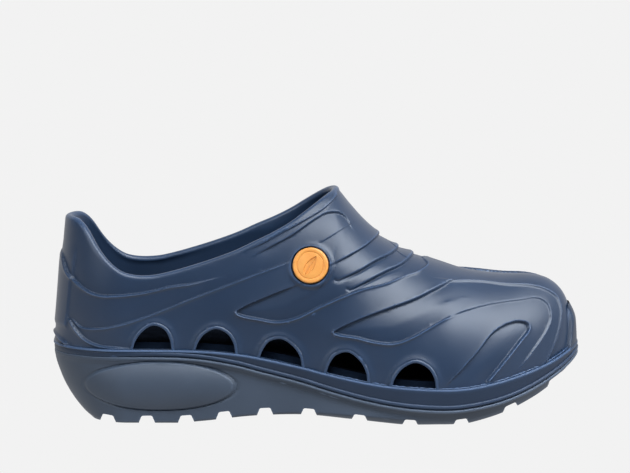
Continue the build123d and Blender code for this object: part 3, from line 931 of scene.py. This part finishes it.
def pad_bulge(loop):
    """Outward swell of the oval cushion on the heel's sides, with a crisp edge."""
    r = np.hypot((loop[:, 0] - PAD_CENTRE[0]) / PAD_RADII[0], (loop[:, 2] - PAD_CENTRE[1]) / PAD_RADII[1])
    inside = 1 - smooth(0.955, 1.0, r)
    dome = 0.7 + 3.9 * np.clip(1 - r**2, 0, 1) ** 0.85
    groove = -0.6 * bell(r - 1.01, 0.02)
    return dome * inside + groove


def build_outsole():
    """Heel wedge and tread, with the band's second bead, the oval cushions and cross channels."""
    waist = 1.2 + 1.4 * smooth(60, 130, SOLE_X)
    crown = 0.4 + TREAD_CROWN * smooth(115, 185, SOLE_X) * (1 - smooth(262, 286, SOLE_X))
    loops = [sole_loop(CORE_INSET - 0.1, JOINT_Z - TRAY_DEPTH - CORE_FLOOR - 0.1),
             sole_loop(CORE_INSET - 0.1, BAND_Z), sole_loop(1.3, BAND_Z)]
    for turn in np.linspace(0, pi, 9):
        loops.append(sole_loop(1.0 - 0.75 * BEAD_SHARE * sin(turn), BAND_Z - 0.2 - 0.9 * (1 - cos(turn))))
    top = BAND_Z - 2.2
    front = smooth(165, 225, SOLE_X)
    for t in np.linspace(0.02, 1, 76):
        z = top
        for _ in range(6):
            reach = SOLE_X + REARWARD * heel_inset(z)
            floor = ground_line(np.maximum(reach, 22)) + crown
            z = top + (np.minimum(floor, top - 0.6) - top) * t
        over = z - floor
        taper = 1.0 + 4.6 * np.clip(1 - over / 13, 0, 1) ** 1.6
        foot = 1.3 * np.clip(1 - over / 1.6, 0, 1) ** 2
        flare = 0.4 + waist * np.clip(over / (top - floor), 0, 1) ** 1.2 + foot
        flare = 1.0 + (flare - 1.0) * smooth(0, 2.5, top - z)
        sides = flare * (1 - front) + taper * front
        inset = REARWARD * heel_inset(z) + (1 - REARWARD) * sides
        swell = pad_bulge(sole_loop(inset, z)) * (1 - REARWARD)
        loops.append(sole_loop(inset - swell, z))
    for further, share in TREAD_EDGE:
        loop = sole_loop(inset + further, 0)
        loop[:, 2] = ground_line(loop[:, 0]) + share * crown
        loops.append(loop)
    outsole = loop_solid("clog_outsole", loops)
    combine(outsole, joined("channels", channel_bars()), "DIFFERENCE")
    x = np.linspace(CHANNEL_X[0], CHANNEL_X[-2], 60)
    spine = [(a, b) for a, b in zip(x, through(BOTTOM, x) + SPINE_DEPTH)]
    spine += [(x[-1], -3), (x[0], -3)]
    combine(outsole, joined("spine", [bar(spine, -SPINE_HALF_WIDTH, SPINE_HALF_WIDTH)]), "DIFFERENCE")
    return shade(outsole, 42)


def channel_bars():
    """Cutters for the tread's cross channels: rounded trapezoids along the bottom line."""
    bars = []
    for x in CHANNEL_X:
        base = float(ground_line(x))
        slope = float(through(BOTTOM, x + 3) - through(BOTTOM, x - 3)) / 6
        depth = min(CHANNEL_DEPTH, float(through(BAND_LINE, x)) - base - 2.6)
        mouth, roof, corner = CHANNEL_MOUTH / 2, CHANNEL_ROOF / 2, 1.3
        outline = [(-mouth - 1.2, -3), (-mouth, -0.2), (-roof - 0.6, 0.45 * depth)]
        for turn in np.linspace(0, pi / 2, 5):
            outline.append((-roof + corner * (1 - cos(turn)), depth - corner * (1 - sin(turn))))
        points = outline + [(-u, v) for u, v in reversed(outline)]
        bars.append(bar([(x + u, base + v + u * slope) for u, v in points]))
    return bars


def build_flash():
    """Thin uneven moulding flash along the joint of the upper and the band, round the forefoot."""
    front = np.nonzero(SOLE_X > FLASH_START)[0]
    run = path_length(OUTLINE[front])
    wander = np.sin(run * 0.9) * np.sin(run * 0.37 + 1) + 0.6 * np.sin(run * 2.3 + 2)
    plan = OUTLINE[front] + INWARD[front] * (LEDGE - 0.25 - 0.1 * wander)[:, None]
    spine = np.column_stack([plan, JOINT_Z[front] + 0.15 + 0.12 * np.sin(run * 1.7)])
    fade = smooth(0, 12, run) * smooth(0, 12, run[-1] - run)
    radius = (0.42 + 0.13 * wander) * (0.4 + 0.6 * fade)
    return shade(joined("joint_flash", [tube(spine, radius, (0, 0, 1), 8)]), 60)


# -------- insole

def insole_loop(inset, height):
    """A loop of the insole, height above its underside."""
    base = JOINT_Z - TRAY_DEPTH + INSOLE_GAP
    cup = INSOLE_CUP * max(0, 1 - inset / INSOLE_CUP_WIDTH) ** 2 * min(1, height / 2)
    return sole_loop(INSOLE_INSET + inset, base + height + cup)


def build_insole():
    foam = [insole_loop(0.5, 0.0), insole_loop(0.05, 0.5)]
    foam += [insole_loop(0, 1.5), insole_loop(0, 3), insole_loop(0.1, INSOLE_FOAM - 0.3)]
    foam += [insole_loop(inset, INSOLE_FOAM - 0.02) for inset in (0.5, 2, 4, 6, 8, 10, 14)]
    base = loop_solid("insole_foam_base", foam)
    cloth = [insole_loop(0.6, INSOLE_FOAM), insole_loop(0.1, INSOLE_FOAM + 0.05)]
    for turn in np.linspace(0, pi / 2, 6):
        rounding = INSOLE_CLOTH * 0.9
        cloth.append(insole_loop(rounding * (1 - cos(turn)), INSOLE_FOAM + 0.1 + rounding * sin(turn)))
    for inset in (2, 3, 4.5, 6, 8, 10, 13, 17, 23):
        cloth.append(insole_loop(inset, INSOLE_FOAM + INSOLE_CLOTH))
    return shade(base, 50), shade(loop_solid("insole_cloth_top", cloth), 50)


# -------- buttons


def build_button(name, place):
    """Cap with a rounded edge and post; its face carries a ring and a plain leaf in low relief."""
    origin, axis, right = place
    profile = [(POST_RADIUS, -BOSS_DEPTH - POST_END), (POST_RADIUS, 0.15), (CAP_RADIUS, 0.15)]
    profile += rounded_edge(CAP_RADIUS, CAP_TOP, 0.9, 8)
    profile += [(radius, CAP_TOP + height) for radius, height in FACE_RING]
    cap = joined(name, [lathe(place, profile, 96)])
    t = np.linspace(-1, 1, 25)
    half = LEAF_WIDTH * (1 - t**2) ** 0.8 * (1 - 0.25 * t)
    up = np.cross(axis, right)
    if up[2] < 0:
        up = -up
    along = cos(LEAF_LEAN) * up + sin(LEAF_LEAN) * right
    across = np.cross(along, axis)
    rings = []
    for height, grow in LEAF_CUT:
        length = (t * LEAF_LENGTH)[:, None] * (0.94 + 0.06 * grow)
        middle = origin + axis * (CAP_TOP + height) + along * length
        spread = across * (half * LEAF_LENGTH * grow)[:, None]
        rings.append(np.vstack([middle + spread, (middle - spread)[-2:0:-1]]))
    leaf = np.vstack(rings), closed_faces(len(rings), len(rings[0]), flip=True)
    combine(cap, joined("leaf_cutter", [leaf]), "DIFFERENCE")
    vein = origin + axis * (CAP_TOP - 0.5) + along * (np.linspace(-1.0, 0.8, 12) * LEAF_LENGTH)[:, None]
    combine(cap, joined("vein", [tube(vein, np.linspace(0.42, 0.2, 12), axis, 8)]), "UNION")
    return shade(cap, 35)


# -------- materials

# Moulded foams: dark and light tone, roughness from and to, then grain, painted edge highlight and gloss
FOAMS = {
    "upper_eva": ((0.0078, 0.0195, 0.045), (0.0108, 0.0255, 0.057), 0.36, 0.46, 0.25, 0.4, 0.5),
    # The midsole's tones are darker than the upper's as painted shade on the low band.
    "midsole_eva": ((0.0062, 0.0150, 0.034), (0.0088, 0.020, 0.044), 0.42, 0.56, 0.4, 0.55, 0.35),
    "outsole_eva": ((0.020, 0.032, 0.053), (0.028, 0.042, 0.067), 0.5, 0.62, 0.45, 0.4, 0.5),
}
# The insole cloth's tones are near black: painted shade for the dark inside of the clog.
CLOTH_SHADE_DARK, CLOTH_SHADE_LIGHT = (0.002, 0.0026, 0.004), (0.005, 0.0065, 0.010)
PAD_DARK, PAD_LIGHT = (0.0065, 0.0125, 0.026), (0.0105, 0.019, 0.037)
ORANGE_DARK, ORANGE_LIGHT = (0.60, 0.225, 0.042), (0.68, 0.29, 0.066)
NYLON_DARK, NYLON_LIGHT = (0.012, 0.014, 0.02), (0.022, 0.026, 0.036)


class Look:
    """A material in the making, its textures placed in object space."""

    def __init__(self, name):
        self.material = bpy.data.materials.new(name)
        self.material.use_nodes = True
        self.nodes, self.links = self.material.node_tree.nodes, self.material.node_tree.links
        self.place = self.add("TexCoord").outputs["Object"]

    def feed(self, node, inputs):
        """Links a node's inputs where a socket is given, and sets them where a value is."""
        for name, value in inputs.items():
            if isinstance(value, bpy.types.NodeSocket):
                self.links.new(value, node.inputs[name])
            else:
                node.inputs[name].default_value = value

    def add(self, kind, inputs=None, **settings):
        node = self.nodes.new("ShaderNode" + kind)
        for name, value in settings.items():
            setattr(node, name, value)
        self.feed(node, inputs or {})
        return node

    def noise(self, scale, detail=4.0, roughness=0.5):
        inputs = {"Scale": scale, "Detail": detail, "Roughness": roughness, "Vector": self.place}
        return self.add("TexNoise", inputs).outputs["Fac"]

    def ramp(self, value, *stops):
        """Colour between two (position, colour) stops."""
        node = self.add("ValToRGB", {"Fac": value})
        for element, (position, colour) in zip(node.color_ramp.elements, stops):
            element.position = position
            element.color = (*colour, 1)
        return node.outputs["Color"]

    def between(self, value, low, high):
        return self.add("MapRange", {"Value": value, "To Min": low, "To Max": high}).outputs["Result"]

    def product(self, first, second):
        return self.add("Math", {0: first, 1: second}, operation="MULTIPLY").outputs[0]

    def finished(self, inputs, *layers):
        """The material, with its shader's inputs and bump layers (height, strength, metres)."""
        bump = {}
        for height, strength, distance in layers:
            bump.update({"Height": height, "Strength": strength, "Distance": distance})
            bump["Normal"] = self.add("Bump", bump).outputs["Normal"]
        self.feed(self.nodes["Principled BSDF"], {**inputs, "Normal": bump["Normal"]})
        return self.material


def foam_material(name, dark, light, rough_low, rough_high, grain, edge_highlight, gloss):
    """Moulded EVA: a satin skin with fine grain, cloudy tone and a painted highlight along convex edges."""
    look = Look(name)
    tone = look.ramp(look.noise(22, 5, 0.6), (0.3, dark), (0.72, light))
    # Painted highlight: convex edges, found by pointiness, are mixed towards a much paler tone.
    edge = look.add("NewGeometry").outputs["Pointiness"]
    edge_highlight_share = look.product(look.ramp(edge, (0.51, (0, 0, 0)), (0.57, (1, 1, 1))), edge_highlight)
    pale = (*[min(1, 3.8 * c + 0.022) for c in light], 1)
    mix = look.add("Mix", {"Factor": edge_highlight_share, "A": tone, "B": pale}, data_type="RGBA", blend_type="MIX")
    rough = look.between(look.noise(60, 6, 0.65), rough_low, rough_high)
    shader = {"Base Color": mix.outputs["Result"], "Roughness": rough, "Specular IOR Level": gloss}
    skin, fine = look.noise(420, 4, 0.6), look.noise(2600, 2, 0.6)
    return look.finished(shader, (skin, 0.12, 0.00012), (fine, grain, 0.00005))


def cloth_material():
    """Insole top: a fine woven cloth, its tone set near black as painted shade for the clog's dark inside.
    """
    look = Look("insole_cloth")
    inputs = {"Scale": 420, "Distortion": 0.4, "Detail": 1, "Vector": look.place}
    warp, weft = (look.add("TexWave", inputs, bands_direction=axis).outputs["Fac"] for axis in "XY")
    tone = look.ramp(look.noise(90), (0.3, CLOTH_SHADE_DARK), (0.75, CLOTH_SHADE_LIGHT))
    shader = {"Base Color": tone, "Roughness": 0.9, "Specular IOR Level": 0.0}
    return look.finished(shader, (look.product(warp, weft), 0.6, 0.0002))


def plain_foam_material():
    """Insole base: open matte foam with small cells."""
    look = Look("insole_foam")
    cells = look.add("TexVoronoi", {"Scale": 1400, "Vector": look.place}).outputs["Distance"]
    tone = look.ramp(look.noise(70), (0.3, PAD_DARK), (0.75, PAD_LIGHT))
    shader = {"Base Color": tone, "Roughness": 0.8, "Specular IOR Level": 0.05}
    return look.finished(shader, (cells, 0.5, 0.0002))


def button_material():
    """Orange moulded plastic, satin with a faint mottling."""
    look = Look("button_plastic")
    tone = look.ramp(look.noise(160), (0.3, ORANGE_DARK), (0.72, ORANGE_LIGHT))
    rough = look.between(look.noise(500, 3), 0.36, 0.5)
    shader = {"Base Color": tone, "Roughness": rough, "Subsurface Weight": 0.05}
    return look.finished(shader, (look.noise(2600, 2), 0.2, 0.00004))


def washer_material():
    """Dark nylon washer inside the wall."""
    look = Look("washer_plastic")
    tone = look.ramp(look.noise(300, 3), (0.3, NYLON_DARK), (0.7, NYLON_LIGHT))
    return look.finished({"Base Color": tone, "Roughness": 0.5}, (look.noise(1800, 2), 0.2, 0.00005))


def dress(piece, material):
    piece.data.materials.clear()
    piece.data.materials.append(material)


# -------- build

upper = build_upper()
finish_upper(upper)
midsole = build_midsole()
outsole = build_outsole()
flash = build_flash()
insole_base, insole_top = build_insole()

looks = {name: foam_material(name, *values) for name, values in FOAMS.items()}
looks["insole_foam"] = plain_foam_material()
looks["insole_cloth"] = cloth_material()

for piece, node, body, slot in (
    (upper, "upper", "clog", "upper_eva"),
    (midsole, "midsole", "clog", "midsole_eva"),
    (outsole, "outsole", "clog", "outsole_eva"),
    (insole_base, "insole_foam", "insole", "insole_foam"),
    (insole_top, "insole_cloth", "insole", "insole_cloth"),
):
    dress(piece, looks[slot])
    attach(piece, body)
    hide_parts(node)
dress(flash, looks["upper_eva"])
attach(flash, "clog")

orange, nylon = button_material(), washer_material()
for name, place in BUTTONS.items():
    cap = build_button(name + "_cap", place)
    dress(cap, orange)
    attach(cap, name)
    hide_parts(name)
    dress(frame["nodes"][name + "_washer"], nylon)

# -------- floor, light and camera

PALE = (0.888, 0.888, 0.888, 1)
SHEET_HALF, BACKDROP_Y, BACKDROP_TOP = 8.0, 3.5, 8.0  # metres
DAYLIGHT, SKY, SKY_STRENGTH = (0.88, 0.94, 1), (0.86, 0.93, 1.0, 1), 0.1
# Each lamp's place, aim, size and watts
LAMPS = {
    "key": ((0.35, -0.6, 1.08), (0.05, 0, 0.06), (1.2, 0.8), 31),
    "left": ((-0.85, -0.7, 0.62), (-0.1, 0, 0.05), (0.5, 0.6), 6.5),
    "front": ((0.9, -0.3, 0.6), (0.1, 0, 0.06), (0.5, 0.6), 8.5),
}


def area_light(name, place, target, size, power):
    data = bpy.data.lights.new(name, "AREA")
    data.shape = "RECTANGLE"
    data.size, data.size_y = size
    data.energy = power
    data.color = DAYLIGHT
    lamp = in_scene(name, data)
    lamp.location = place
    lamp.rotation_euler = (Vector(target) - Vector(place)).to_track_quat("-Z", "Y").to_euler()


def studio():
    """A plain pale floor that runs into an equally pale backdrop, with no edge to be seen."""
    material = bpy.data.materials.new("pale_sheet")
    material.use_nodes = True
    nodes = material.node_tree.nodes
    glow = nodes.new("ShaderNodeEmission")
    glow.inputs["Color"].default_value = PALE
    glow.inputs["Strength"].default_value = 1
    material.node_tree.links.new(glow.outputs[0], nodes["Material Output"].inputs["Surface"])
    level = CAD_LOW.z - FLOOR_GAP
    front, foot, top = (
        [(-SHEET_HALF, y, z), (SHEET_HALF, y, z)]
        for y, z in ((-FLOOR_REACH, level), (BACKDROP_Y, level), (BACKDROP_Y, BACKDROP_TOP))
    )
    for name, corners in (("floor", front + foot[::-1]), ("backdrop", foot + top[::-1])):
        mesh = bpy.data.meshes.new(name)
        mesh.from_pydata(corners, [], [(0, 1, 2, 3)])
        mesh.materials.append(material)
        in_scene(name, mesh)


studio()
world = bpy.data.worlds.new("studio")
bpy.context.scene.world = world
world.use_nodes = True
world.node_tree.nodes["Background"].inputs["Color"].default_value = SKY
world.node_tree.nodes["Background"].inputs["Strength"].default_value = SKY_STRENGTH
for name, values in LAMPS.items():
    area_light(name, *values)

camera_data = bpy.data.cameras.new("camera")
camera_data.sensor_width = 36
camera_data.lens = camera_data.sensor_width * SIGHT_DISTANCE / VIEW_WIDTH
camera_data.clip_end = 50
camera = in_scene("camera", camera_data)
tilt = radians(SIGHT_ELEVATION)
target = Vector((HEEL_X + SIGHT_X, 0, SIGHT_Z)) * MM
camera.location = target + SIGHT_DISTANCE * MM * Vector((0, -cos(tilt), sin(tilt)))
camera.rotation_euler = (pi / 2 - tilt, 0, 0)
bpy.context.scene.camera = camera
bpy.context.scene.view_settings.view_transform = "Standard"
